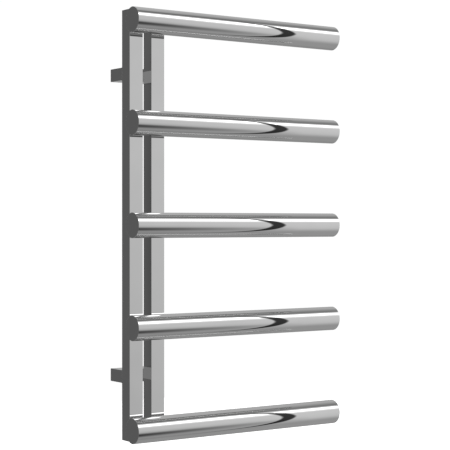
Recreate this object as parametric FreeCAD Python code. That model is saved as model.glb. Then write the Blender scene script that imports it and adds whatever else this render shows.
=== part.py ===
"""Wall-hung towel warmer: two square posts, five round rails that stand on spigots in front
of them and reach out to one side, four hollow arms that slide over shoes on the wall, and an
air vent.

Millimetres.  The origin is the centre of the four wall screws, on the wall's face.
+Y points into the wall, +Z is up, and the rails reach out along +X from the posts.
"""
import FreeCAD, Part
import math
import os

from FreeCAD import Vector

# ---------------------------------------------------------------- driving dimensions
RAIL_COUNT = 5
RAIL_LENGTH = 500.0
RAIL_DIAMETER = 50.0
RAIL_WALL = 1.5
RAIL_PITCH = 200.0
RAIL_CAP_THICK = 2.0
RAIL_CAP_EDGE = 0.4

POST_WIDTH = 30.0
POST_DEPTH = 30.0
POST_WALL = 1.5
POST_CORNER = 0.5
POST_SPACING = 50.0
POST_CAP_THICK = 2.0
POST_CAP_EDGE = 0.3

RAIL_OVERHANG = 10.0          # the rails' left ends stand this far past the left post
RAIL_STANDOFF = 1.0           # from the posts' front faces to the rails' skins
SPIGOT_RADIUS = 8.0
SPIGOT_WALL = 2.0
SPIGOT_STANDS_IN = 1.0        # how far a spigot's ends stand inside the post and the rail
WELD_GAP = 0.05               # between a spigot and the holes that it is welded into

SOCKET_RADIUS = 9.3155        # minor radius of a G1/2 thread
SOCKET_DEPTH = 14.0
SOCKET_GAP = 1.2              # from the socket's outside to the post's inner walls
SOCKET_LEAD = 0.8             # chamfer at the mouth

ARM_WIDTH = 25.0
ARM_HEIGHT = 25.0
ARM_WALL = 2.5
ARM_CORNER = 0.5
ARM_REACH = 45.0              # from the posts' rear faces to the wall
ARM_INSET = 125.5             # from each end of the posts to the arms' centres
ARM_WALL_GAP = 0.5            # the arms stop this far short of the wall

SLIDE_TRAVEL = 12.0           # how far the rack can stand further off the wall
SHOE_LENGTH = 28.0
SHOE_CLEARANCE = 0.3
SHOE_LEAD = 1.2
WALL_SCREW_RADIUS = 2.75
WALL_SCREW_HEAD_RADIUS = 5.5
WALL_SCREW_HEAD_DEPTH = 3.5

GRUB_RADIUS = 2.45
GRUB_LENGTH = 4.0
GRUB_CLEARANCE = 0.05         # radial, in its threaded hole
GRUB_RECESS = 0.1             # its outer end lies this far inside the arm's underside
GRUB_FROM_WALL = 11.0
GRUB_KEY = 2.5                # across the flats of its hexagon socket
GRUB_KEY_DEPTH = 2.0
PAD_RADIUS = 2.0
PAD_THICK = 0.9
PAD_STEM_RADIUS = 0.8
PAD_STEM_LENGTH = 1.0
PAD_FIT = 0.05                # between a pad and the screw that carries it
PAD_LIFT = 0.3                # from a pad to the groove's roof before it is tightened
GROOVE_CLEARANCE = 0.35       # from a grub screw to the groove's sides and ends

VENT_INSET = 75.0             # from the top of the post to the vent's axis
VENT_SHANK_RADIUS = 4.8
VENT_SHANK_LENGTH = 5.5
VENT_HOLE_CLEARANCE = 0.05
VENT_FLATS = 13.0
VENT_HEX_LENGTH = 4.0
VENT_NECK_RADIUS = 4.6
VENT_NECK_LENGTH = 4.0
VENT_WASHER_RADIUS = 6.4
VENT_WASHER_THICK = 1.0
VENT_SEAT_RADIUS = 1.2
VENT_OUTLET_RADIUS = 0.8
BLEED_RADIUS = 2.4
BLEED_CLEARANCE = 0.05
BLEED_SEAL_THICK = 0.8
BLEED_SEAL_GAP = 0.05
BLEED_STEM_RADIUS = 0.7
BLEED_STEM_LENGTH = 1.5
BLEED_STANDS_PROUD = 1.0
BLEED_SLOT_WIDTH = 0.8
BLEED_SLOT_DEPTH = 1.2

# ---------------------------------------------------------------- places that follow
RAIL_RADIUS = RAIL_DIAMETER / 2
POST_REAR = -ARM_REACH
POST_FRONT = POST_REAR - POST_DEPTH
POST_CENTRE_Y = POST_REAR - POST_DEPTH / 2
RAIL_Y = POST_FRONT - RAIL_STANDOFF - RAIL_RADIUS
TOP_RAIL_Z = RAIL_PITCH * (RAIL_COUNT - 1) / 2
POST_TOP = TOP_RAIL_Z + RAIL_RADIUS
ARM_Z = POST_TOP - ARM_INSET
VENT_Z = POST_TOP - VENT_INSET

ARM_X = {"left": -POST_SPACING / 2, "right": POST_SPACING / 2}
ARM_CENTRES = {
    "upper_left": (ARM_X["left"], ARM_Z),
    "upper_right": (ARM_X["right"], ARM_Z),
    "lower_left": (ARM_X["left"], -ARM_Z),
    "lower_right": (ARM_X["right"], -ARM_Z),
}
# each arm is flush with the left side of its post
POST_X = {side: x + (POST_WIDTH - ARM_WIDTH) / 2 for side, x in ARM_X.items()}
RAIL_LEFT = POST_X["left"] - POST_WIDTH / 2 - RAIL_OVERHANG
RAIL_RIGHT = RAIL_LEFT + RAIL_LENGTH
X_AXIS = Vector(1, 0, 0)
Y_AXIS = Vector(0, 1, 0)
Z_AXIS = Vector(0, 0, 1)
TINY = 1e-6


# ---------------------------------------------------------------- helpers
def block(low, high):
    """A box from its lowest to its highest corner."""
    size = Vector(*high) - Vector(*low)
    return Part.makeBox(size.x, size.y, size.z, Vector(*low))


def rounded_bar(width, height, length, corner, start, axis):
    """A bar with rounded long edges, centred on start, which runs along +Y or +Z."""
    if axis is Z_AXIS:
        low = (start[0] - width / 2, start[1] - height / 2, start[2])
        high = (start[0] + width / 2, start[1] + height / 2, start[2] + length)
    else:
        low = (start[0] - width / 2, start[1], start[2] - height / 2)
        high = (start[0] + width / 2, start[1] + length, start[2] + height / 2)
    bar = block(low, high)
    return bar.makeFillet(corner, [e for e in bar.Edges if runs_along(e, axis)])


def runs_along(edge, axis):
    """Is this a straight edge along the axis?"""
    if not isinstance(edge.Curve, Part.Line):
        return False
    direction = edge.Vertexes[1].Point - edge.Vertexes[0].Point
    return direction.cross(axis).Length < TINY


def edges_on_plane(shape, axis, value):
    """The edges that lie wholly in the plane where the axis coordinate has this value."""
    found = []
    for edge in shape.Edges:
        box = edge.BoundBox
        low = Vector(box.XMin, box.YMin, box.ZMin).dot(axis)
        high = Vector(box.XMax, box.YMax, box.ZMax).dot(axis)
        if abs(low - value) < 1e-3 and abs(high - value) < 1e-3:
            found.append(edge)
    return found


def hexagon_bar(flats, start, axis, length):
    """A six-sided bar with this size across its flats."""
    side = Vector(1, 0, 0)
    other = axis.cross(side)
    corner_radius = flats / 2 / math.cos(math.pi / 6)
    corners = []
    for step in range(7):
        angle = math.radians(60 * step)
        corners.append(start + (side * math.cos(angle) + other * math.sin(angle)) * corner_radius)
    return Part.Face(Part.makePolygon(corners)).extrude(axis * length)


def rail_heights():
    """The heights of the rails' axes, from the lowest up."""
    return [-TOP_RAIL_Z + RAIL_PITCH * i for i in range(RAIL_COUNT)]


def save(name, shape):
    """Write one node and say how large it is."""
    solids = shape.Solids
    shape = solids[0] if len(solids) == 1 else Part.makeCompound(solids)
    shape.exportStep("parts/%s.step" % name)
    print("%-24s %d solid(s) %12.1f mm3 valid %s" % (name, len(solids), shape.Volume, shape.isValid()))


# ---------------------------------------------------------------- posts
def post(x):
    """A square tube between its two end plates, drilled in front for the rails' spigots."""
    bottom = -POST_TOP + POST_CAP_THICK
    length = 2 * (POST_TOP - POST_CAP_THICK)
    outside = rounded_bar(POST_WIDTH, POST_DEPTH, length, POST_CORNER, (x, POST_CENTRE_Y, bottom), Z_AXIS)
    half = POST_WIDTH / 2 - POST_WALL
    inside = block(
        (x - half, POST_FRONT + POST_WALL, bottom),
        (x + half, POST_REAR - POST_WALL, bottom + length),
    )
    tube = outside.cut(inside)
    for z in rail_heights():
        start = Vector(x, POST_FRONT, z)
        tube = tube.cut(Part.makeCylinder(SPIGOT_RADIUS + WELD_GAP, POST_WALL, start, Y_AXIS))
    return tube


def vent_hole():
    """The hole for the vent's shank in the right post's rear wall."""
    start = Vector(POST_X["right"], POST_REAR - 2 * POST_WALL, VENT_Z)
    return Part.makeCylinder(VENT_SHANK_RADIUS + VENT_HOLE_CLEARANCE, 3 * POST_WALL, start, Y_AXIS)


def end_plate(x, low, outer_face):
    """A plate that closes a post, with softened edges on its outer face."""
    plate = rounded_bar(POST_WIDTH, POST_DEPTH, POST_CAP_THICK, POST_CORNER, (x, POST_CENTRE_Y, low), Z_AXIS)
    return plate.makeFillet(POST_CAP_EDGE, edges_on_plane(plate, Z_AXIS, outer_face))


def post_top_cap(x):
    """The plate on top of a post."""
    return end_plate(x, POST_TOP - POST_CAP_THICK, POST_TOP)


def valve_boss(x):
    """The plate under a post with the threaded socket for a valve, as one turned piece."""
    mouth = Vector(x, POST_CENTRE_Y, -POST_TOP)
    radius = min(POST_WIDTH, POST_DEPTH) / 2 - POST_WALL - SOCKET_GAP
    body = end_plate(x, -POST_TOP, -POST_TOP).fuse(Part.makeCylinder(radius, SOCKET_DEPTH, mouth, Z_AXIS))
    body = body.cut(Part.makeCylinder(SOCKET_RADIUS, SOCKET_DEPTH, mouth, Z_AXIS))
    lead = Part.makeCone(SOCKET_RADIUS + SOCKET_LEAD, SOCKET_RADIUS, SOCKET_LEAD, mouth, Z_AXIS)
    return body.cut(lead).removeSplitter()


# ---------------------------------------------------------------- rails
def rail(z):
    """A round tube between its two end discs, drilled behind for its spigots."""
    start = Vector(RAIL_LEFT + RAIL_CAP_THICK, RAIL_Y, z)
    length = RAIL_LENGTH - 2 * RAIL_CAP_THICK
    tube = Part.makeCylinder(RAIL_RADIUS, length, start, X_AXIS)
    tube = tube.cut(Part.makeCylinder(RAIL_RADIUS - RAIL_WALL, length, start, X_AXIS))
    for x in POST_X.values():
        centre = Vector(x, RAIL_Y, z)
        tube = tube.cut(Part.makeCylinder(SPIGOT_RADIUS + WELD_GAP, RAIL_DIAMETER, centre, Y_AXIS))
    return tube


def rail_cap(z, inner, outer):
    """An end disc of a rail; its outer face has a softened edge."""
    disc = Part.makeCylinder(RAIL_RADIUS, RAIL_CAP_THICK, Vector(min(inner, outer), RAIL_Y, z), X_AXIS)
    return disc.makeFillet(RAIL_CAP_EDGE, edges_on_plane(disc, X_AXIS, outer))


def spigot(x, z):
    """The short pipe that holds a rail in front of a post and lets the water through."""
    inner_skin = math.sqrt((RAIL_RADIUS - RAIL_WALL) ** 2 - SPIGOT_RADIUS ** 2)
    start = Vector(x, RAIL_Y + inner_skin - SPIGOT_STANDS_IN, z)
    length = POST_FRONT + POST_WALL + SPIGOT_STANDS_IN - start.y
    pipe = Part.makeCylinder(SPIGOT_RADIUS, length, start, Y_AXIS)
    return pipe.cut(Part.makeCylinder(SPIGOT_RADIUS - SPIGOT_WALL, length, start, Y_AXIS))


# ---------------------------------------------------------------- arms and their shoes
def grub_axis(x, z):
    """Where a grub screw's axis meets the underside of its arm."""
    return Vector(x, -GRUB_FROM_WALL, z - ARM_HEIGHT / 2)


def arm(x, z):
    """A square tube from a post's rear face to the wall, tapped below for its grub screw."""
    length = ARM_REACH - ARM_WALL_GAP
    outside = rounded_bar(ARM_WIDTH, ARM_HEIGHT, length, ARM_CORNER, (x, POST_REAR, z), Y_AXIS)
    half_width = ARM_WIDTH / 2 - ARM_WALL
    half_height = ARM_HEIGHT / 2 - ARM_WALL
    inside = block(
        (x - half_width, POST_REAR, z - half_height),
        (x + half_width, POST_REAR + length, z + half_height),
    )
    tapped = Part.makeCylinder(GRUB_RADIUS + GRUB_CLEARANCE, ARM_WALL, grub_axis(x, z), Z_AXIS)
    return outside.cut(inside).cut(tapped)


def grub_base(x, z):
    """The centre of a grub screw's outer end."""
    return grub_axis(x, z) + Z_AXIS * GRUB_RECESS


def grub_screw(x, z):
    """A set screw with a hexagon socket below and a recess above for its pad's stem."""
    base = grub_base(x, z)
    screw = Part.makeCylinder(GRUB_RADIUS, GRUB_LENGTH, base, Z_AXIS)
    screw = screw.cut(hexagon_bar(GRUB_KEY, base, Z_AXIS, GRUB_KEY_DEPTH))
    depth = PAD_STEM_LENGTH + PAD_FIT
    tip = base + Z_AXIS * (GRUB_LENGTH - depth)
    return screw.cut(Part.makeCylinder(PAD_STEM_RADIUS + PAD_FIT, depth, tip, Z_AXIS))


def pad(x, z):
    """The soft pad on a grub screw's tip, held by its stem."""
    seat = grub_base(x, z) + Z_AXIS * (GRUB_LENGTH + PAD_FIT)
    disc = Part.makeCylinder(PAD_RADIUS, PAD_THICK, seat, Z_AXIS)
    stem = Part.makeCylinder(PAD_STEM_RADIUS, PAD_STEM_LENGTH, seat - Z_AXIS * PAD_STEM_LENGTH, Z_AXIS)
    return disc.fuse(stem).removeSplitter()


def groove_roof(x, z):
    """The height of the groove's roof over a grub screw."""
    return grub_base(x, z).z + GRUB_LENGTH + PAD_FIT + PAD_THICK + PAD_LIFT


def wall_shoe(x, z):
    """The block on the wall that an arm slides over, with a groove that stops the slide at both ends."""
    width = ARM_WIDTH - 2 * (ARM_WALL + SHOE_CLEARANCE)
    height = ARM_HEIGHT - 2 * (ARM_WALL + SHOE_CLEARANCE)
    front = -SHOE_LENGTH
    shoe = block((x - width / 2, front, z - height / 2), (x + width / 2, 0, z + height / 2))
    shoe = shoe.makeChamfer(SHOE_LEAD, edges_on_plane(shoe, Y_AXIS, front))
    centre = Vector(x, front, z)
    shoe = shoe.cut(Part.makeCylinder(WALL_SCREW_RADIUS, SHOE_LENGTH, centre, Y_AXIS))
    shoe = shoe.cut(
        Part.makeCone(WALL_SCREW_HEAD_RADIUS, WALL_SCREW_RADIUS, WALL_SCREW_HEAD_DEPTH, centre, Y_AXIS)
    )
    half = GRUB_RADIUS + GROOVE_CLEARANCE
    floor = z - height / 2
    depth = groove_roof(x, z) - floor
    near = Vector(x, -GRUB_FROM_WALL, floor)
    far = near - Y_AXIS * SLIDE_TRAVEL
    groove = block((x - half, far.y, floor), (x + half, near.y, floor + depth))
    for end in (near, far):
        groove = groove.fuse(Part.makeCylinder(half, depth, end, Z_AXIS))
    return shoe.cut(groove.removeSplitter())


# ---------------------------------------------------------------- air vent
VENT_X = POST_X["right"]
WASHER_TOP = POST_REAR + VENT_WASHER_THICK
VENT_END = WASHER_TOP + VENT_HEX_LENGTH + VENT_NECK_LENGTH
SHANK_END = POST_REAR - VENT_SHANK_LENGTH
SEAT = SHANK_END + POST_WALL


def on_vent(y):
    """A point on the vent's axis."""
    return Vector(VENT_X, y, VENT_Z)


def vent_washer():
    """The sealing ring between the vent and the post."""
    ring = Part.makeCylinder(VENT_WASHER_RADIUS, VENT_WASHER_THICK, on_vent(POST_REAR), Y_AXIS)
    hole = VENT_SHANK_RADIUS + VENT_HOLE_CLEARANCE
    return ring.cut(Part.makeCylinder(hole, VENT_WASHER_THICK, on_vent(POST_REAR), Y_AXIS))


def vent_body():
    """The vent: a shank in the post, a hexagon, a round neck, and a bore down to its seat."""
    shank_length = WASHER_TOP - SHANK_END
    body = Part.makeCylinder(VENT_SHANK_RADIUS, shank_length, on_vent(SHANK_END), Y_AXIS)
    body = body.fuse(hexagon_bar(VENT_FLATS, on_vent(WASHER_TOP), Y_AXIS, VENT_HEX_LENGTH))
    neck_start = on_vent(WASHER_TOP + VENT_HEX_LENGTH)
    body = body.fuse(Part.makeCylinder(VENT_NECK_RADIUS, VENT_NECK_LENGTH, neck_start, Y_AXIS))
    bore = BLEED_RADIUS + BLEED_CLEARANCE
    body = body.cut(Part.makeCylinder(bore, VENT_END - SEAT, on_vent(SEAT), Y_AXIS))
    body = body.cut(Part.makeCylinder(VENT_SEAT_RADIUS, SEAT - SHANK_END, on_vent(SHANK_END), Y_AXIS))
    outlet = on_vent(WASHER_TOP + VENT_HEX_LENGTH / 2)
    body = body.cut(Part.makeCylinder(VENT_OUTLET_RADIUS, VENT_FLATS, outlet, Z_AXIS * -1))
    return body.removeSplitter()


def bleed_seal():
    """The soft disc that closes the seat, carried by the bleed screw."""
    start = on_vent(SEAT + BLEED_SEAL_GAP)
    disc = Part.makeCylinder(BLEED_RADIUS - BLEED_CLEARANCE, BLEED_SEAL_THICK, start, Y_AXIS)
    stem_start = on_vent(SEAT + BLEED_SEAL_GAP + BLEED_SEAL_THICK)
    stem = Part.makeCylinder(BLEED_STEM_RADIUS, BLEED_STEM_LENGTH, stem_start, Y_AXIS)
    return disc.fuse(stem).removeSplitter()


def bleed_screw():
    """The screw that opens the vent, with a slot across its outer end."""
    low = SEAT + 2 * BLEED_SEAL_GAP + BLEED_SEAL_THICK
    high = VENT_END + BLEED_STANDS_PROUD
    screw = Part.makeCylinder(BLEED_RADIUS, high - low, on_vent(low), Y_AXIS)
    recess = BLEED_STEM_LENGTH + BLEED_SEAL_GAP
    screw = screw.cut(Part.makeCylinder(BLEED_STEM_RADIUS + BLEED_CLEARANCE, recess, on_vent(low), Y_AXIS))
    slot = block(
        (VENT_X - BLEED_RADIUS, high - BLEED_SLOT_DEPTH, VENT_Z - BLEED_SLOT_WIDTH / 2),
        (VENT_X + BLEED_RADIUS, high, VENT_Z + BLEED_SLOT_WIDTH / 2),
    )
    return screw.cut(slot)


# ---------------------------------------------------------------- write every piece
def main():
    os.makedirs("parts", exist_ok=True)
    save("left_post", post(POST_X["left"]))
    save("right_post", post(POST_X["right"]).cut(vent_hole()))
    for side, x in POST_X.items():
        save("%s_post_top_cap" % side, post_top_cap(x))
        save("%s_valve_boss" % side, valve_boss(x))
    for index, z in enumerate(rail_heights(), start=1):
        save("rail_%d" % index, rail(z))
        save("rail_%d_left_cap" % index, rail_cap(z, RAIL_LEFT + RAIL_CAP_THICK, RAIL_LEFT))
        save("rail_%d_right_cap" % index, rail_cap(z, RAIL_RIGHT - RAIL_CAP_THICK, RAIL_RIGHT))
        for side, x in POST_X.items():
            save("rail_%d_%s_spigot" % (index, side), spigot(x, z))
    for place, (x, z) in ARM_CENTRES.items():
        save("%s_arm" % place, arm(x, z))
        save("%s_wall_shoe" % place, wall_shoe(x, z))
        save("%s_grub_screw" % place, grub_screw(x, z))
        save("%s_pad" % place, pad(x, z))
    save("vent_washer", vent_washer())
    save("vent_body", vent_body())
    save("bleed_screw", bleed_screw())
    save("bleed_seal", bleed_seal())


main()
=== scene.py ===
# %% [markdown]
# A towel warmer that hangs on a wall: two square posts carry five round rails that reach
# out to one side, and four hollow arms slide over shoes on the wall.  Everything in view
# is polished steel under bright chrome plate, so the shapes have to be exact, and the
# studio around them matters as much as the metal does.
#
# The engineering model is loaded first as a fixed frame.  It gives the places and the
# main sizes used below, so no piece can drift away from the part that it dresses.

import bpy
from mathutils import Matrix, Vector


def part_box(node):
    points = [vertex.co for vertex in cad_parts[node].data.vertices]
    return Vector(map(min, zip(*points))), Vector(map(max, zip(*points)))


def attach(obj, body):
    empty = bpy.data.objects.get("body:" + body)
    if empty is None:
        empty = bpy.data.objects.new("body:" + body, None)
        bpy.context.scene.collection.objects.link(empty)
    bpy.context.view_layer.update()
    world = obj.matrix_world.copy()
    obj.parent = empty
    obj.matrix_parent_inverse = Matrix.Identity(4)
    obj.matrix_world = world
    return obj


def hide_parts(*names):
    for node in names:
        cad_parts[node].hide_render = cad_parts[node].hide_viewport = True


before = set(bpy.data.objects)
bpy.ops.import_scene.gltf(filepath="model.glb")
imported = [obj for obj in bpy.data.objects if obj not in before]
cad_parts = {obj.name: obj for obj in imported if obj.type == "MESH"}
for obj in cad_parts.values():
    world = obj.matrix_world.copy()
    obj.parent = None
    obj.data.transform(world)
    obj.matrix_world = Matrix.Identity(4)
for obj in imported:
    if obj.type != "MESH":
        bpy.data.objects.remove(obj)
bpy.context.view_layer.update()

# %% Modules, and the rails' sizes from the frame
import math

import bmesh
import bpy
from mathutils import Vector

MM = 0.001
RAILS = range(1, 6)


def node_box(name):
    """A node's lowest and highest corners and its middle."""
    low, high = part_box(name)
    return low, high, (low + high) / 2


disc_low, disc_high, _ = node_box("rail_2_left_cap")
DISC_THICK = disc_high.x - disc_low.x
RAIL_RADIUS = (disc_high.z - disc_low.z) / 2
RAIL_Y = (disc_high.y + disc_low.y) / 2
RAIL_Z = {number: node_box("rail_%d_left_cap" % number)[2].z for number in RAILS}
RAIL_START = disc_low.x
RAIL_END = node_box("rail_2_right_cap")[1].x
print("rails: radius %.1f mm, from x %.1f to %.1f mm" % (RAIL_RADIUS / MM, RAIL_START / MM, RAIL_END / MM))

# %% [markdown]
# The camera stands level with the middle rail, about 2.8 m away and 35 degrees round to
# the left of the front.  A long lens from that far keeps the rails almost parallel, and
# the slight downward tilt puts the horizon just above the middle of the picture.  A
# camera could also be aimed with a Track To constraint; plain numbers are easier to
# trust when a view has to be matched.

# %% Camera
CAMERA_PLACE = Vector((-1.43115, -2.40825, 0.00371))
CAMERA_YAW = math.radians(34.79)
CAMERA_TILT = math.radians(0.0671)
CAMERA_LENS = 110.632
SENSOR_WIDTH = 36.0

camera_data = bpy.data.cameras.new("camera")
camera_data.lens = CAMERA_LENS
camera_data.sensor_width = SENSOR_WIDTH
camera = bpy.data.objects.new("camera", camera_data)
camera.location = CAMERA_PLACE
camera.rotation_euler = (math.pi / 2 - CAMERA_TILT, 0.0, -CAMERA_YAW)
bpy.context.scene.collection.objects.link(camera)
bpy.context.scene.camera = camera
bpy.context.scene.view_settings.view_transform = "Standard"
rail_middle = Vector(((RAIL_START + RAIL_END) / 2, RAIL_Y, 0))
print("camera is %.2f m from the middle rail" % (CAMERA_PLACE - rail_middle).length)

# %% [markdown]
# Every finish and the studio itself are made of shader nodes.  Linking them by hand takes
# four lines a node, so one small class does the linking.  It only wraps what the shader
# editor shows, which keeps each finish below short enough to read.

# %% A helper for shader trees
class Nodes:
    """Makes and links the nodes of one node tree."""

    def __init__(self, tree):
        self.tree = tree

    def add(self, kind, **settings):
        node = self.tree.nodes.new(kind)
        for key, value in settings.items():
            setattr(node, key, value)
        return node

    def set(self, socket, value):
        """A socket takes another socket's output or a plain value."""
        if isinstance(value, bpy.types.NodeSocket):
            self.tree.links.new(value, socket)
        else:
            socket.default_value = value

    def math(self, operation, a, b=0.0, clamp=False):
        node = self.add("ShaderNodeMath", operation=operation, use_clamp=clamp)
        self.set(node.inputs[0], a)
        self.set(node.inputs[1], b)
        return node.outputs[0]

    def step(self, value, low, high):
        """0 at low, 1 at high, smooth between; low may be above high."""
        node = self.add("ShaderNodeMapRange", interpolation_type="SMOOTHSTEP")
        self.set(node.inputs["Value"], value)
        self.set(node.inputs["From Min"], low)
        self.set(node.inputs["From Max"], high)
        return node.outputs["Result"]

    def mix(self, factor, a, b):
        node = self.add("ShaderNodeMix", data_type="FLOAT")
        self.set(node.inputs["Factor"], factor)
        self.set(node.inputs["A"], a)
        self.set(node.inputs["B"], b)
        return node.outputs["Result"]

    def ramp(self, value, stops):
        """A ramp from (position, brightness) or (position, (red, green, blue)) stops."""
        node = self.add("ShaderNodeValToRGB")
        elements = node.color_ramp.elements
        while len(elements) < len(stops):
            elements.new(0.5)
        for element, (position, level) in zip(elements, stops):
            colour = (level,) * 3 if isinstance(level, float) else level
            element.position = position
            element.color = (*colour, 1.0)
        self.set(node.inputs["Fac"], value)
        return node.outputs["Color"]


# %% [markdown]
# Chrome has almost no colour of its own: it shows the room.  This studio is made of long
# soft boxes that run along the rails, so it is described by the angle round the rails:
# 0 degrees is straight in front, 90 is overhead, and -90 is the floor.  Lamps and cards
# could be placed one by one, but a world shader gives even, noise-free light from every
# side.  Each stop is one card or the gap between two: its value is how bright the
# polished metal looks there.
#
# There are three lists.  The dark gap under the camera is deep on the left and fades
# towards the right, so the room has a near list and a far one.  The third list is for
# what faces the wall, which would otherwise show the same cards as the front.

# %% Cards in front of the rack: (angle round the rails, brightness as seen in the metal)
CARDS_NEAR = (
    (-180, 0.565), (-164, 0.51), (-152, 0.475), (-140, 0.475), (-124, 0.53), (-88, 0.54),
    (-74, 0.495), (-60, 0.535), (-52, 0.47), (-44, 0.32), (-36, 0.225), (-30, 0.24),
    (-24, 0.38), (-18, 0.555), (-12, 0.65), (-4, 0.685), (4, 0.72), (20, 0.725), (25, 0.725),
    (31, 0.78), (36, 0.925), (41, 1.0), (53, 1.0), (57, 0.96), (64, 0.755), (69, 0.49),
    (75, 0.375), (82, 0.44), (92, 0.62), (112, 0.66), (140, 0.645), (180, 0.57),
)
CARDS_FAR = (
    (-180, 0.565), (-164, 0.51), (-150, 0.495), (-135, 0.505), (-110, 0.55), (-70, 0.555),
    (-60, 0.58), (-50, 0.635), (-36, 0.705), (-24, 0.73), (-8, 0.745), (12, 0.76), (24, 0.755),
    (28, 0.80), (33, 0.91), (38, 0.98), (41, 1.0), (53, 1.0), (57, 0.96), (64, 0.745),
    (69, 0.545), (76, 0.42), (82, 0.47), (100, 0.56), (120, 0.645), (150, 0.60), (180, 0.57),
)
print("cards in front:", len(CARDS_NEAR), "near stops and", len(CARDS_FAR), "far ones")

# %% Cards that metal facing the wall shows
CARDS_BEHIND = (
    (-180, 0.52), (-166, 0.46), (-158, 0.28), (-148, 0.26), (-142, 0.62), (-118, 0.66),
    (-100, 0.50), (100, 0.52), (112, 0.60), (120, 0.97), (140, 0.97), (147, 0.55),
    (153, 0.27), (162, 0.36), (170, 0.60), (180, 0.52),
)
print("cards behind:", len(CARDS_BEHIND), "stops")


# %% The studio world: cards by direction
NEAR_ALONG, FAR_ALONG = 0.51, 0.615


def as_ramp(cards):
    """Card angles from -180 to 180 degrees become ramp positions from 0 to 1."""
    return [((angle + 180.0) / 360.0, level) for angle, level in cards]


world = bpy.data.worlds.new("studio")
world.use_nodes = True
bpy.context.scene.world = world
world.node_tree.nodes.clear()
sky = Nodes(world.node_tree)

split = sky.add("ShaderNodeSeparateXYZ")
sky.set(split.inputs[0], sky.add("ShaderNodeTexCoord").outputs["Generated"])
along, depth, height = split.outputs
turn = sky.math("ARCTAN2", height, sky.math("MULTIPLY", depth, -1.0))
around = sky.math("ADD", sky.math("DIVIDE", turn, 2 * math.pi), 0.5)
past_near = sky.math("SUBTRACT", along, NEAR_ALONG)
reach = sky.math("DIVIDE", past_near, FAR_ALONG - NEAR_ALONG, clamp=True)
cards = sky.mix(reach, sky.ramp(around, as_ramp(CARDS_NEAR)), sky.ramp(around, as_ramp(CARDS_FAR)))
print("front cards blend where a direction's share along the rails is", NEAR_ALONG, "to", FAR_ALONG)

# %% [markdown]
# Two directions need something else.  What faces the wall squarely shows the third list,
# a plain room with one window card.  Straight out along the rails all the cards would
# meet in a point, like the ribs of an umbrella, so plain walls stand there.  Each pair
# below says where a change begins and where it is complete, as a share of the direction.

# %% The side of the wall, and the walls at both ends
SQUARE_ON = (0.48, 0.40)
TOWARDS_WALL = (0.02, 0.2)
END_ON = (0.78, 0.97)
END_WALL = 0.55

sideways = sky.math("ABSOLUTE", along)
behind = sky.math("MULTIPLY", sky.step(sideways, *SQUARE_ON), sky.step(depth, *TOWARDS_WALL))
cards = sky.mix(behind, cards, sky.ramp(around, as_ramp(CARDS_BEHIND)))
cards = sky.mix(sky.step(sideways, *END_ON), cards, END_WALL)
print("end walls look", END_WALL, "bright in the metal")

# %% [markdown]
# Far out along the rails the metal shows a thin dark crescent: the rim of a big round
# reflector.  A real torus could stand there, but it would have to be very far away and
# very smooth.  Here it is the set of directions that make one angle with the rails,
# bent by the secant of the angle round them, and it fades where the rim turns away.

# %% The dark rim of the round reflector
RIM_ALONG = 0.6022
RIM_BEND = 0.0182
RIM_BEND_POWER = 0.85
RIM_HALF_WIDTH = 0.0037
RIM_SOFTNESS = 0.0012
RIM_DEPTH = 0.72
RIM_GONE, RIM_FULL = math.radians(98), math.radians(52)
LEAST_COSINE = 0.02

secant = sky.math("DIVIDE", 1.0, sky.math("MAXIMUM", sky.math("COSINE", turn), LEAST_COSINE))
opened = sky.math("POWER", sky.math("SUBTRACT", secant, 1.0), RIM_BEND_POWER)
rim_along = sky.math("SUBTRACT", RIM_ALONG, sky.math("MULTIPLY", opened, RIM_BEND))
off_rim = sky.math("ABSOLUTE", sky.math("SUBTRACT", along, rim_along))
rim = sky.step(off_rim, RIM_HALF_WIDTH + RIM_SOFTNESS, RIM_HALF_WIDTH - RIM_SOFTNESS)
fade = sky.step(sky.math("ABSOLUTE", turn), RIM_GONE, RIM_FULL)
shade = sky.math("MULTIPLY", sky.math("MULTIPLY", rim, fade), RIM_DEPTH)
cards = sky.math("MULTIPLY", cards, sky.math("SUBTRACT", 1.0, shade))
print("rim: %.2f degrees off the rails' axis" % math.degrees(math.acos(RIM_ALONG)))

# %% [markdown]
# The posts' left sides face a corner of the room that no lamp reaches, and they look
# dark grey beside the bright fronts.  The corner could be a tall dark card, but then
# metal seen from above or below would show it too.  So it is only as tall as a level
# look needs, and it gets a little darker further to the left.

# %% The unlit corner
TO_THE_LEFT = (-0.2, -0.45)
TOWARDS_CORNER = (0.2, 0.6)
LEVEL = (0.42, 0.28)
DEEPER = (-0.519, -0.527)
BACK_LEFT, BACK_LEFT_DEEP = 0.335, 0.29

dark_side = sky.math("MULTIPLY", sky.step(along, *TO_THE_LEFT), sky.step(depth, *TOWARDS_CORNER))
level_look = sky.step(sky.math("ABSOLUTE", height), *LEVEL)
corner = sky.mix(sky.step(along, *DEEPER), BACK_LEFT, BACK_LEFT_DEEP)
cards = sky.mix(sky.math("MULTIPLY", dark_side, level_look), cards, corner)
print("the corner looks", BACK_LEFT, "to", BACK_LEFT_DEEP, "bright in the metal")

# %% [markdown]
# The cards were given as they look in the metal, so they are turned into light here: the
# display's curve is undone, and so is the part of the light that the metal swallows.  The
# big soft box is nearly three times brighter than white, so that it stays white after two
# or three bounces between pieces.  Only its far part has that power.  Towards the left
# everything stays a little below white, or metal seen square on would lose its shape.

# %% Cards to light, and the soft box
DISPLAY_GAMMA = 2.2
METAL_REFLECTANCE = 0.62
FAR_PART = (0.30, 0.46)
SOFT_LIMIT = 0.88
BOX_LOW, BOX_HIGH, BOX_EDGE = math.radians(41), math.radians(55), math.radians(2.5)
BOX_POWER = 2.8

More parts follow.
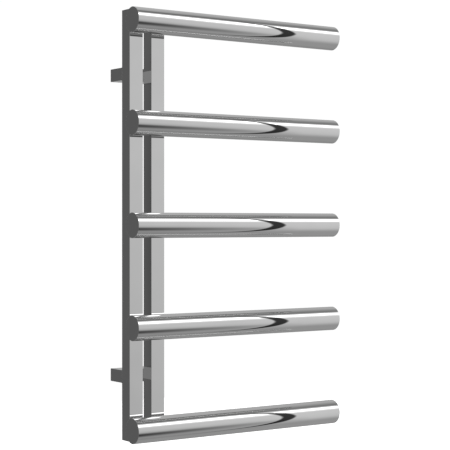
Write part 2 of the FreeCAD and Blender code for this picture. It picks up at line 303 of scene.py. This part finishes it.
full_power = sky.step(along, *FAR_PART)
cards = sky.math("MINIMUM", cards, sky.mix(full_power, SOFT_LIMIT, 1.0))
light = sky.math("DIVIDE", sky.math("POWER", cards, DISPLAY_GAMMA), METAL_REFLECTANCE)
above_edge = sky.step(turn, BOX_LOW, BOX_LOW + BOX_EDGE)
below_edge = sky.step(turn, BOX_HIGH, BOX_HIGH - BOX_EDGE)
inside_box = sky.math("MULTIPLY", sky.math("MULTIPLY", above_edge, below_edge), full_power)
light = sky.math("MULTIPLY", light, sky.mix(inside_box, 1.0, BOX_POWER))
print("the soft box is %.1f times as bright as white" % BOX_POWER)

# %% [markdown]
# The camera itself sees plain white paper all round.  A white backdrop could stand behind
# the rack, but the chrome would show it; a Light Path node tells the camera's own rays
# from reflected ones, so each gets what it needs.

# %% White paper behind everything
PAPER = 1.02

studio = sky.add("ShaderNodeBackground")
sky.set(studio.inputs["Color"], light)
paper = sky.add("ShaderNodeBackground")
paper.inputs["Strength"].default_value = PAPER
paper.inputs["Color"].default_value = (1.0, 1.0, 1.0, 1.0)
choose = sky.add("ShaderNodeMixShader")
sky.set(choose.inputs[0], sky.add("ShaderNodeLightPath").outputs["Is Camera Ray"])
sky.set(choose.inputs[1], studio.outputs[0])
sky.set(choose.inputs[2], paper.outputs[0])
sky.set(sky.add("ShaderNodeOutputWorld").inputs["Surface"], choose.outputs[0])
print("studio world has", len(world.node_tree.nodes), "nodes")

# %% [markdown]
# Finishes.  Each is a Principled shader whose colour, gloss and relief are fed by noises
# in real metres.  An image texture could do the same, but it would stretch on some pieces
# and repeat on others, and these patterns have the same grain on all of them.

# %% Patterns that a finish is made of
class FinishNodes(Nodes):
    """The nodes helper, with places, noises and bumps."""

    def place(self, stretch=(1.0, 1.0, 1.0)):
        """Where a point lies on the object, in metres, stretched along each axis."""
        node = self.add("ShaderNodeMapping")
        node.inputs["Scale"].default_value = stretch
        self.set(node.inputs["Vector"], self.add("ShaderNodeTexCoord").outputs["Object"])
        return node.outputs["Vector"]

    def noise(self, where, scale, detail):
        """Cloudy noise from 0 to 1; scale is in clouds to the metre."""
        node = self.add("ShaderNodeTexNoise")
        node.inputs["Scale"].default_value = scale
        node.inputs["Detail"].default_value = detail
        self.set(node.inputs["Vector"], where)
        return node.outputs["Fac"]

    def between(self, value, low, high):
        """A 0 to 1 value spread evenly from low to high."""
        node = self.add("ShaderNodeMapRange")
        self.set(node.inputs["Value"], value)
        self.set(node.inputs["To Min"], low)
        self.set(node.inputs["To Max"], high)
        return node.outputs["Result"]

    def bump(self, height, depth):
        """A surface normal for a relief that is this many metres deep."""
        node = self.add("ShaderNodeBump")
        node.inputs["Strength"].default_value = 1.0
        node.inputs["Distance"].default_value = depth
        self.set(node.inputs["Height"], height)
        return node.outputs["Normal"]


# %% A finish: a shader with its sockets ready
def new_finish(name, metallic=1.0, **sockets):
    """A material, the nodes helper for it and its shader."""
    material = bpy.data.materials.new(name)
    material.use_nodes = True
    shader = material.node_tree.nodes["Principled BSDF"]
    shader.inputs["Metallic"].default_value = metallic
    for key, value in sockets.items():
        shader.inputs[key].default_value = value
    return material, FinishNodes(material.node_tree), shader


def lay_on(look, shader, tone, colours, grain, roughness, relief):
    """Colours follow one noise; roughness and relief follow another, or the same one."""
    look.set(shader.inputs["Base Color"], look.ramp(tone, colours))
    look.set(shader.inputs["Roughness"], look.between(grain, *roughness))
    look.set(shader.inputs["Normal"], look.bump(grain, relief))


# %% [markdown]
# Bright chrome is not a perfect mirror: the tube under it was polished on belts, so it
# has a very slight waviness every few centimetres, hair lines that run round the rails
# and along the posts, and faint clouds where it was wiped.  The waviness only tilts the
# reflections by a fraction of a degree, and the lines and clouds only change how sharp
# they are.  More of either would smear the crescent and the thin light lines on the rails.

# %% Polished chrome
CLOUD_CONTRAST = 0.012
WIPED_ROUGHNESS = (0.003, 0.009)
LINE_ROUGHNESS = (-0.002, 0.002)
WAVE_DEPTH = 0.0004 * MM


def chrome_finish(name, line_stretch):
    """Polished chrome; its hair lines are drawn out along the least stretched axes."""
    material, look, shader = new_finish(name)
    clouds = look.noise(look.place(), 14.0, 4.0)
    lines = look.noise(look.place(line_stretch), 1.0, 3.0)
    waves = look.noise(look.place(), 22.0, 1.0)
    dim, bright = METAL_REFLECTANCE - CLOUD_CONTRAST, METAL_REFLECTANCE + CLOUD_CONTRAST
    look.set(shader.inputs["Base Color"], look.ramp(clouds, ((0.3, dim), (0.7, bright))))
    wiped = look.between(clouds, *WIPED_ROUGHNESS)
    roughness = look.math("ADD", wiped, look.between(lines, *LINE_ROUGHNESS))
    look.set(shader.inputs["Roughness"], roughness)
    look.set(shader.inputs["Normal"], look.bump(waves, WAVE_DEPTH))
    return material


rail_chrome = chrome_finish("polished_chrome_rails", (2600.0, 40.0, 40.0))
post_chrome = chrome_finish("polished_chrome_posts", (2600.0, 2600.0, 30.0))
print("chrome:", rail_chrome.name, "and", post_chrome.name)

# %% [markdown]
# The welds were brushed before plating, so the chrome on them is softer and still shows
# the small ripples of the bead.  The socket's thread was cut after welding and has only a
# thin flash of plate over fine turning marks.  Both could share the rails' chrome, but
# then the welds and the thread would look cast in one with the tubes.

# %% Plated weld and cut thread
weld_chrome, look, shader = new_finish("plated_weld")
grain = look.noise(look.place(), 900.0, 4.0)
lay_on(look, shader, grain, ((0.25, 0.50), (0.75, 0.62)), grain, (0.10, 0.26), 0.02 * MM)

socket_metal, look, shader = new_finish("cut_thread")
turned = look.noise(look.place((60.0, 60.0, 9000.0)), 1.0, 3.0)
stain = look.noise(look.place(), 260.0, 3.0)
plate_tones = ((0.3, (0.50, 0.49, 0.47)), (0.7, (0.62, 0.62, 0.62)))
lay_on(look, shader, stain, plate_tones, turned, (0.14, 0.34), 0.01 * MM)
print("softer plate:", weld_chrome.name, "and", socket_metal.name)

# %% [markdown]
# The shoes are die castings: a dull grey skin with a grain of about half a millimetre and
# cloudy patches.  The set screws are hardened steel with bright zinc plate, which is a
# little blue with straw-coloured clouds.  The vent is turned brass under nickel, so it is
# warmer than the chrome beside it and carries turning lines round its axis.  One grey
# metal could serve for all three, but close up these differences are what tells them apart.

# %% Cast zinc
cast_zinc, look, shader = new_finish("cast_zinc")
grain = look.noise(look.place(), 1900.0, 5.0)
patches = look.noise(look.place(), 120.0, 3.0)
cast_tones = ((0.3, (0.40, 0.41, 0.42)), (0.7, (0.52, 0.53, 0.54)))
lay_on(look, shader, patches, cast_tones, grain, (0.42, 0.62), 0.06 * MM)
print("shoes:", cast_zinc.name)

# %% Zinc-plated steel and nickel-plated brass
zinc_plate, look, shader = new_finish("zinc_plated_steel")
tint = look.noise(look.place(), 420.0, 3.0)
scuffs = look.noise(look.place((3000.0, 3000.0, 300.0)), 1.0, 4.0)
blue_to_straw = ((0.35, (0.50, 0.53, 0.57)), (0.7, (0.60, 0.57, 0.47)))
lay_on(look, shader, tint, blue_to_straw, scuffs, (0.22, 0.42), 0.008 * MM)

nickel_brass, look, shader = new_finish("nickel_plated_brass")
turned = look.noise(look.place((50.0, 12000.0, 50.0)), 1.0, 3.0)
worn = look.noise(look.place(), 300.0, 4.0)
nickel_to_brass = ((0.30, (0.66, 0.63, 0.58)), (0.72, (0.60, 0.55, 0.46)))
lay_on(look, shader, worn, nickel_to_brass, turned, (0.10, 0.26), 0.008 * MM)
print("screws and vent:", zinc_plate.name, "and", nickel_brass.name)

# %% [markdown]
# Natural nylon is cream-coloured, slightly translucent and faintly speckled; moulding
# leaves it satin.  The sealing rubber is near black with a bloom of grey dust.  Plain
# colours could do at this size, but a little light inside the nylon keeps it from
# looking painted.

# %% Nylon and sealing rubber
nylon, look, shader = new_finish("natural_nylon", metallic=0.0, **{"Subsurface Weight": 0.15})
shader.inputs["Subsurface Radius"].default_value = (0.9 * MM, 0.7 * MM, 0.5 * MM)
speck = look.noise(look.place(), 1500.0, 3.0)
creams = ((0.3, (0.74, 0.71, 0.62)), (0.7, (0.82, 0.80, 0.73)))
lay_on(look, shader, speck, creams, speck, (0.38, 0.52), 0.01 * MM)

seal_rubber, look, shader = new_finish("sealing_rubber", metallic=0.0)
bloom = look.noise(look.place(), 2200.0, 4.0)
blacks = ((0.35, (0.018, 0.018, 0.019)), (0.75, (0.060, 0.060, 0.062)))
lay_on(look, shader, bloom, blacks, bloom, (0.55, 0.8), 0.02 * MM)
print("finishes:", ", ".join(sorted(m.name for m in bpy.data.materials)))

# %% [markdown]
# Turned pieces are built ring by ring.  A ring's radius and height may change with the
# angle, so the same few lines make a tube, a disc with a softened rim, a thread, a
# hexagon socket, a square plate with a round hole, and a weld that follows two surfaces.
# Screw and Bevel modifiers would need one tool each, and leave less control over where
# the highlights fall.

# %% Rings to a closed mesh
X_AXIS = Vector((1, 0, 0))
Y_AXIS = Vector((0, 1, 0))
Z_AXIS = Vector((0, 0, 1))


def even_angles(count):
    return [2 * math.pi * step / count for step in range(count)]


def at(rule, angle):
    """A plain number, or what a rule gives at this angle."""
    return rule(angle) if callable(rule) else rule


def ring_mesh(rings, place, axis, across, angles):
    """A closed mesh through rings of points, each ring given as (radius, height)."""
    other = axis.cross(across)
    bm = bmesh.new()
    rows = []
    for radius, lift in rings:
        if radius == 0.0:
            rows.append([bm.verts.new(place + axis * lift)])
            continue
        row = []
        for angle in angles:
            out = across * math.cos(angle) + other * math.sin(angle)
            row.append(bm.verts.new(place + axis * at(lift, angle) + out * at(radius, angle)))
        rows.append(row)
    pairs = list(zip(rows, rows[1:]))
    if len(rows[0]) > 1:
        pairs.append((rows[-1], rows[0]))
    count = len(angles)
    for lower, upper in pairs:
        for step in range(count):
            after = (step + 1) % count
            corners = [lower[step % len(lower)], lower[after % len(lower)]]
            corners += [upper[after % len(upper)], upper[step % len(upper)]]
            bm.faces.new(list(dict.fromkeys(corners)))
    return bm


# %% [markdown]
# A new mesh still has to be shaded, painted and tied to a body of the frame, so that it
# moves with the joint.  Smooth shading alone would bend the light on flat faces next to
# rounded edges; edges above a set angle are kept sharp, and a Weighted Normal modifier
# lets the big flat faces win.

# %% A mesh becomes a piece that rides on its body
def make_piece(name, bm, material, body, nodes=(), sharp=32.0):
    """Makes a mesh into a piece.

    Nodes are the frame's nodes that it stands for, and edges of more than sharp degrees
    stay sharp.
    """
    bmesh.ops.recalc_face_normals(bm, faces=bm.faces)
    mesh = bpy.data.meshes.new(name)
    bm.to_mesh(mesh)
    bm.free()
    mesh.polygons.foreach_set("use_smooth", [True] * len(mesh.polygons))
    mesh.set_sharp_from_angle(angle=math.radians(sharp))
    mesh.materials.append(material)
    piece = bpy.data.objects.new(name, mesh)
    bpy.context.scene.collection.objects.link(piece)
    flat = piece.modifiers.new("flat faces stay flat", "WEIGHTED_NORMAL")
    flat.keep_sharp = True
    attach(piece, body)
    if nodes:
        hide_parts(*nodes)
    return piece


# %% [markdown]
# The rails are 50 mm tubes closed by welded discs that were ground flush and polished
# over, so no seam shows.  A primitive cylinder would do for the shape, but a mirror shows
# every facet, also in the rail above and below: 256 facets keep each reflected line
# straight.  The disc's rim is softened by 0.4 mm, which catches the thin arc of light.

# %% Rail sizes and the softened rim
RAIL_ANGLES = even_angles(256)
TUBE_WALL = 1.5 * MM
DISC_EDGE = 0.4 * MM


def soft_edge(radius, level, edge, inward, steps=5):
    """Rings round a softened rim: from the flat face at this level out to the full radius."""
    rings = []
    for step in range(steps + 1):
        turn = math.pi / 2 * step / steps
        out, back = edge * (1 - math.sin(turn)), edge * (1 - math.cos(turn))
        rings.append((radius - out, level + inward * back))
    return rings


print("rail bore: %.1f mm" % (2 * (RAIL_RADIUS - TUBE_WALL) / MM))

# %% Rails
first, last = RAIL_START + DISC_THICK, RAIL_END - DISC_THICK
bore = RAIL_RADIUS - TUBE_WALL
tube = [(RAIL_RADIUS, first), (RAIL_RADIUS, last), (bore, last), (bore, first)]

for number in RAILS:
    rail = "rail_%d" % number
    rail_place = Vector((0.0, RAIL_Y, RAIL_Z[number]))
    bm = ring_mesh(tube, rail_place, X_AXIS, Z_AXIS, RAIL_ANGLES)
    make_piece(rail + "_tube", bm, rail_chrome, "rack", [rail])
    for side, face, inward in (("left", RAIL_START, 1), ("right", RAIL_END, -1)):
        back = face + inward * DISC_THICK
        disc = [(0.0, face)] + soft_edge(RAIL_RADIUS, face, DISC_EDGE, inward)
        disc += [(RAIL_RADIUS, back), (0.0, back)]
        bm = ring_mesh(disc, rail_place, X_AXIS, Z_AXIS, RAIL_ANGLES)
        stem = "%s_%s" % (rail, side)
        make_piece(stem + "_disc", bm, rail_chrome, "rack", [stem + "_cap"])
print("made", len(RAILS), "rails of", len(RAIL_ANGLES), "facets")

# %% [markdown]
# Each rail stands 1 mm clear of a post on a short pipe, and a weld closes the gap all
# round.  Its two feet follow different surfaces: the post's flat front and the rail's
# round skin, so the bead is taller above and below than it is at the sides.  A torus
# would cut into one of them.  Every ring is placed between the two surfaces instead, and
# a small sine round the bead gives the ripples of hand welding.

# %% Where the posts stand
SIDES = ("left", "right")
post_low, post_high, _ = node_box("left_post")
POST_FRONT, POST_REAR = post_low.y, post_high.y
POST_X = {side: node_box("%s_post" % side)[2].x for side in SIDES}
print("posts at x", ", ".join("%.1f" % (POST_X[side] / MM) for side in SIDES), "mm")

# %% The bead between a rail and a post
PIPE_RADIUS = 8.0 * MM
BEAD_LEG = 1.0 * MM
BEAD_WAIST = 0.15 * MM
BEAD_SINK = 0.06 * MM
BEAD_RIPPLES = 36
RIPPLE = 0.05 * MM


def rail_skin(radius):
    """How far out the rail's skin lies, by angle, at this distance from the pipe's axis."""
    return lambda angle: RAIL_Y + math.sqrt(RAIL_RADIUS ** 2 - (radius * math.sin(angle)) ** 2)


def bead_ring(share):
    """One ring of the bead: share is 0 on the rail and 1 on the post."""
    waist = PIPE_RADIUS + BEAD_WAIST + BEAD_LEG * (2 * share - 1) ** 2
    skin = rail_skin(waist)
    return (
        lambda angle: waist + RIPPLE * math.sin(BEAD_RIPPLES * angle),
        lambda angle: (skin(angle) - BEAD_SINK) * (1 - share) + (POST_FRONT + BEAD_SINK) * share,
    )


# %% Welds between rails and posts
BEAD_STEPS = 8
ROOT_INSET = 0.1 * MM
ROOT_DEPTH = 0.4 * MM
WELD_ANGLES = even_angles(144)

root = PIPE_RADIUS - ROOT_INSET
skin_at_root = rail_skin(root)
weld = [bead_ring(step / BEAD_STEPS) for step in range(BEAD_STEPS + 1)]
weld += [(root, POST_FRONT + ROOT_DEPTH), (root, lambda angle: skin_at_root(angle) - ROOT_DEPTH)]
for number in RAILS:
    for side in SIDES:
        place = Vector((POST_X[side], 0.0, RAIL_Z[number]))
        bm = ring_mesh(weld, place, Y_AXIS, X_AXIS, WELD_ANGLES)
        make_piece("rail_%d_%s_weld" % (number, side), bm, weld_chrome, "rack")
print("made", len(RAILS) * len(SIDES), "rail welds")

# %% [markdown]
# An arm's left side is flush with its post, so the weld runs round the other three sides
# only.  It is a small hollow bead, drawn as one cross-section carried along a path with
# rounded corners.  A curve with a bevel object would also work; a direct mesh keeps the
# two ends closed.

# %% The path round three sides of an arm
CORNER_STEPS = 6
SIDE_STEPS = 24


def along_side(start, end, outward):
    """Points along one side of the arm, with the direction away from it."""
    return [(start.lerp(end, step / SIDE_STEPS), outward) for step in range(SIDE_STEPS + 1)]


def round_corner(corner, before, after):
    """The same corner with directions that swing from one side's to the next one's."""
    turns = [math.pi / 2 * step / CORNER_STEPS for step in range(1, CORNER_STEPS)]
    return [(corner, before * math.cos(turn) + after * math.sin(turn)) for turn in turns]


def three_sided_path(low, high):
    """Over an arm, down its right side and back below."""
    top_right, low_right = Vector((high.x, 0, high.z)), Vector((high.x, 0, low.z))
    path = along_side(Vector((low.x, 0, high.z)), top_right, Z_AXIS)
    path += round_corner(top_right, Z_AXIS, X_AXIS)
    path += along_side(top_right, low_right, X_AXIS)
    path += round_corner(low_right, X_AXIS, -Z_AXIS)
    path += along_side(low_right, Vector((low.x, 0, low.z)), -Z_AXIS)
    return path


# %% The bead carried along it
ARM_LEG = 1.1 * MM
ARM_ROOT = -0.3 * MM
SWELL = 0.06
SWELL_TURN = 2.1


def hollow_bead(steps=5):
    """The bead's cross-section as (outwards, away from the post), starting inside."""
    section = [(ARM_ROOT, ARM_ROOT), (ARM_LEG, ARM_ROOT)]
    for step in range(steps + 1):
        turn = math.pi / 2 * step / steps
        section.append((ARM_LEG * (1 - math.sin(turn)), ARM_LEG * (1 - math.cos(turn))))
    section.append((ARM_ROOT, ARM_LEG))
    return section


def bead_mesh(path, section, rear):
    """Carries the cross-section along the path, with a slight ripple, and closes its ends."""
    bm = bmesh.new()
    rows = []
    for index, (point, outward) in enumerate(path):
        swell = 1.0 + SWELL * math.sin(SWELL_TURN * index)
        row = [point + outward * (out * swell) + Y_AXIS * (rear + away * swell) for out, away in section]
        rows.append([bm.verts.new(corner) for corner in row])
    count = len(section)
    for lower, upper in zip(rows, rows[1:]):
        for step in range(count):
            after = (step + 1) % count
            bm.faces.new((lower[step], lower[after], upper[after], upper[step]))
    bm.faces.new(rows[0])
    bm.faces.new(rows[-1])
    return bm


# %% Welds between arms and posts
PLACES = ("upper_left", "upper_right", "lower_left", "lower_right")

for place_name in PLACES:
    low, high, _ = node_box("%s_arm" % place_name)
    bm = bead_mesh(three_sided_path(low, high), hollow_bead(), POST_REAR)
    make_piece("%s_arm_weld" % place_name, bm, weld_chrome, "rack")
print("made", len(PLACES), "arm welds")

# %% [markdown]
# Under each post is a plate with a threaded socket for a valve.  The half-inch pipe
# thread has rounded crests and a pitch of 1.814 mm.  A bump pattern could suggest it, but
# a look from below goes straight into the socket, so it is cut as real geometry.  The
# plate is square outside and round inside: its outer rings follow a rounded square, with
# extra angles at the four corners.

# %% Rounded squares by angle
def rounded_square(half, corner):
    """The distance from the centre to a square's rounded outline, at any angle."""
    centre = Vector((half - corner, half - corner))

    def radius(angle):
        turn = (angle + math.pi / 4) % (math.pi / 2) - math.pi / 4
        flat = half / math.cos(turn)
        if flat * abs(math.sin(turn)) <= half - corner:
            return flat
        out = Vector((math.cos(turn), abs(math.sin(turn))))
        middle = out.dot(centre)
        return middle + math.sqrt(max(0.0, middle ** 2 - centre.length_squared + corner ** 2))

    return radius


def square_angles(half, corner, count, steps=6):
    """Even angles, and a few more where the rounded corners are."""
    angles = even_angles(count)
    inner = half - corner
    for quarter in range(4):
        for step in range(steps + 1):
            turn = math.pi / 2 * step / steps
            angle = math.atan2(inner + corner * math.sin(turn), inner + corner * math.cos(turn))
            angles.append(angle + math.pi / 2 * quarter)
    return sorted(set(round(a % (2 * math.pi), 6) for a in angles))


# %% Threads by angle
RINGS_PER_TURN = 10


def thread_radius(crest, root, pitch, lift):
    """The radius of a rounded thread at this height, by angle."""
    def radius(angle):
        phase = lift / pitch - angle / (2 * math.pi)
        return (crest + root) / 2 + (crest - root) / 2 * math.cos(2 * math.pi * phase)

    return radius


def wider(rule, least):
    """The larger of a rule's radius and a plain one."""
    return lambda angle: max(rule(angle), least)


def narrower(rule, most):
    """The smaller of a rule's radius and a plain one."""
    return lambda angle: min(rule(angle), most)


# %% The plate's outline
boss_low, boss_high, _ = node_box("left_valve_boss")
BOSS_DEPTH = boss_high.z - boss_low.z
PLATE_THICK = post_low.z - boss_low.z
HALF_PLATE = (boss_high.x - boss_low.x) / 2
POST_CORNER = 0.5 * MM
LEAST_CORNER = 0.1 * MM
PLATE_EDGE = 0.3 * MM
EDGE_STEPS = 3


def plate_rule(inset):
    return rounded_square(HALF_PLATE - inset, max(POST_CORNER - inset, LEAST_CORNER))


plate = []
for step in range(EDGE_STEPS + 1):
    turn = math.pi / 2 * step / EDGE_STEPS
    plate.append((plate_rule(PLATE_EDGE * (1 - math.sin(turn))), PLATE_EDGE * (1 - math.cos(turn))))
plate.append((plate_rule(0.0), PLATE_THICK))
print("plate: %.1f mm square, %.1f mm thick" % (2 * HALF_PLATE / MM, PLATE_THICK / MM))

# %% The socket's thread
SOCKET_MINOR = 9.3155 * MM
SOCKET_MAJOR = 10.4775 * MM
SOCKET_PITCH = 1.814 * MM
SOCKET_OUTSIDE = 12.3 * MM
SOCKET_LEAD = 0.8 * MM

boss = plate + [(SOCKET_OUTSIDE, PLATE_THICK), (SOCKET_OUTSIDE, BOSS_DEPTH)]
levels = int(BOSS_DEPTH / SOCKET_PITCH * RINGS_PER_TURN)
for level in range(levels, -1, -1):
    lift = BOSS_DEPTH * level / levels
    least = SOCKET_MINOR + max(0.0, SOCKET_LEAD - lift)
    boss.append((wider(thread_radius(SOCKET_MINOR, SOCKET_MAJOR, SOCKET_PITCH, lift), least), lift))
print("socket: thread of %.1f turns" % (BOSS_DEPTH / SOCKET_PITCH))

# %% Valve bosses
BOSS_ANGLES = square_angles(HALF_PLATE, POST_CORNER, 96)
THREAD_LIMIT = SOCKET_OUTSIDE - 0.2 * MM
ABOVE_FACE = 0.01 * MM
BOSS_SHARP = 40.0

for side in SIDES:
    node = "%s_valve_boss" % side
    low, _, middle = node_box(node)
    foot = Vector((middle.x, middle.y, low.z))
    bm = ring_mesh(boss, foot, Z_AXIS, X_AXIS, BOSS_ANGLES)
    piece = make_piece(node + "_threaded", bm, post_chrome, "rack", [node], BOSS_SHARP)
    piece.data.materials.append(socket_metal)
    for face in piece.data.polygons:
        offset = face.center - foot
        if offset.xy.length < THREAD_LIMIT and offset.z > ABOVE_FACE:
            face.material_index = 1
print("made", len(SIDES), "valve bosses")

# %% [markdown]
# A set screw clamps each arm to its shoe from below.  Its M5 thread and the hexagon
# socket are geometry too.  A boolean could cut the socket, but the same rings can do it:
# the socket's ring has a radius that follows a hexagon.  The nylon pad sits on the far
# end, its stem in a small recess.

# %% The set screw's profile
SCREW_PITCH = 0.8 * MM
SCREW_DEPTH = 0.35 * MM
SCREW_CHAMFER = 0.4 * MM
KEY_FLATS = 2.5 * MM
KEY_DEPTH = 2.0 * MM
KEY_LEAD = 0.15 * MM
KEY_CONE = 0.3 * MM
STEM_RECESS = 0.85 * MM
STEM_DEPTH = 1.05 * MM


def hexagon(flats):
    """The distance from the centre to a hexagon's outline, at any angle."""
    def radius(angle):
        turn = (angle + math.pi / 6) % (math.pi / 3) - math.pi / 6
        return flats / 2 / math.cos(turn)

    return radius


def set_screw_rings(radius, length):
    """From the foot of the key socket, out over the thread and down into the stem's recess."""
    key = hexagon(KEY_FLATS)
    rings = [(0.0, KEY_DEPTH + KEY_CONE), (key, KEY_DEPTH), (key, KEY_LEAD)]
    rings.append((hexagon(KEY_FLATS + 2 * KEY_LEAD), 0.0))
    levels = int(length / SCREW_PITCH * RINGS_PER_TURN)
    for level in range(levels + 1):
        lift = length * level / levels
        most = radius - max(0.0, SCREW_CHAMFER - lift, SCREW_CHAMFER - (length - lift))
        thread = thread_radius(radius, radius - SCREW_DEPTH, SCREW_PITCH, lift)
        rings.append((narrower(thread, most), lift))
    rings += [(STEM_RECESS, length), (STEM_RECESS, length - STEM_DEPTH), (0.0, length - STEM_DEPTH)]
    return rings


# %% Set screws
SCREW_ANGLES = even_angles(72)

for place_name in PLACES:
    node = "%s_grub_screw" % place_name
    low, high, middle = node_box(node)
    rings = set_screw_rings((high.x - low.x) / 2, high.z - low.z)
    bm = ring_mesh(rings, Vector((middle.x, middle.y, low.z)), Z_AXIS, X_AXIS, SCREW_ANGLES)
    make_piece(node + "_threaded", bm, zinc_plate, "%s_grub" % place_name, [node])
print("made", len(PLACES), "set screws")

# %% [markdown]
# The posts, their top plates, the arms, the shoes, the pads and the vent already have
# their true shape in the frame, down to the softened edges.  They could be modelled again
# here, but that would only add a chance of error, so they stay and only get their finish.
# The end of a piece's name says what kind it is.

# %% Finishes for the frame's own pieces
FINISH_OF = {
    "post": post_chrome, "post_top_cap": post_chrome, "arm": post_chrome, "spigot": weld_chrome,
    "wall_shoe": cast_zinc, "pad": nylon, "vent_washer": seal_rubber, "bleed_seal": seal_rubber,
    "vent_body": nickel_brass, "bleed_screw": nickel_brass,
}
painted = 0
for name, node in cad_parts.items():
    if node.hide_render:
        continue
    kinds = [kind for kind in FINISH_OF if name.endswith(kind)]
    node.data.materials.clear()
    node.data.materials.append(FINISH_OF[max(kinds, key=len)])
    painted += 1
print("finished", painted, "pieces of the frame")

# %% [markdown]
# The rack hangs with its middle 1.25 m above a plain pale floor, which is only there for
# the eye: the studio above already holds the floor's brightness, so the metal must not
# see it twice.  It is a sheet with a fine fibre, like paper from a roll, and it glows a
# little so that it stays almost white.  A thick slab would block a look from below, so
# the sheet is clear from its underside.

# %% Floor
FLOOR_HEIGHT = -1.25
FLOOR_REACH = 6.0
FLOOR_GLOW = 0.62

bm = bmesh.new()
outline = [(x * FLOOR_REACH, y * FLOOR_REACH) for x, y in ((-1, -1), (1, -1), (1, 1), (-1, 1))]
bm.faces.new([bm.verts.new((x, y, FLOOR_HEIGHT)) for x, y in outline])
floor_mesh = bpy.data.meshes.new("floor")
bm.to_mesh(floor_mesh)
bm.free()
floor = bpy.data.objects.new("floor", floor_mesh)
bpy.context.scene.collection.objects.link(floor)
floor.visible_glossy = False
floor.visible_diffuse = False
print("floor at %.0f mm" % (FLOOR_HEIGHT / MM))

# %% Floor finish, clear from below
pale, look, shader = new_finish("pale_floor", metallic=0.0)
shader.inputs["Emission Strength"].default_value = FLOOR_GLOW
fibre = look.noise(look.place(), 700.0, 4.0)
look.set(shader.inputs["Base Color"], look.ramp(fibre, ((0.3, 0.90), (0.7, 0.94))))
look.set(shader.inputs["Emission Color"], look.ramp(fibre, ((0.3, 0.97), (0.7, 1.0))))
look.set(shader.inputs["Roughness"], look.between(fibre, 0.8, 0.95))
one_sided = look.add("ShaderNodeMixShader")
look.set(one_sided.inputs[0], look.add("ShaderNodeNewGeometry").outputs["Backfacing"])
look.set(one_sided.inputs[1], shader.outputs[0])
look.set(one_sided.inputs[2], look.add("ShaderNodeBsdfTransparent").outputs[0])
look.set(pale.node_tree.nodes["Material Output"].inputs["Surface"], one_sided.outputs[0])
floor.data.materials.append(pale)
print("floor finish:", pale.name)
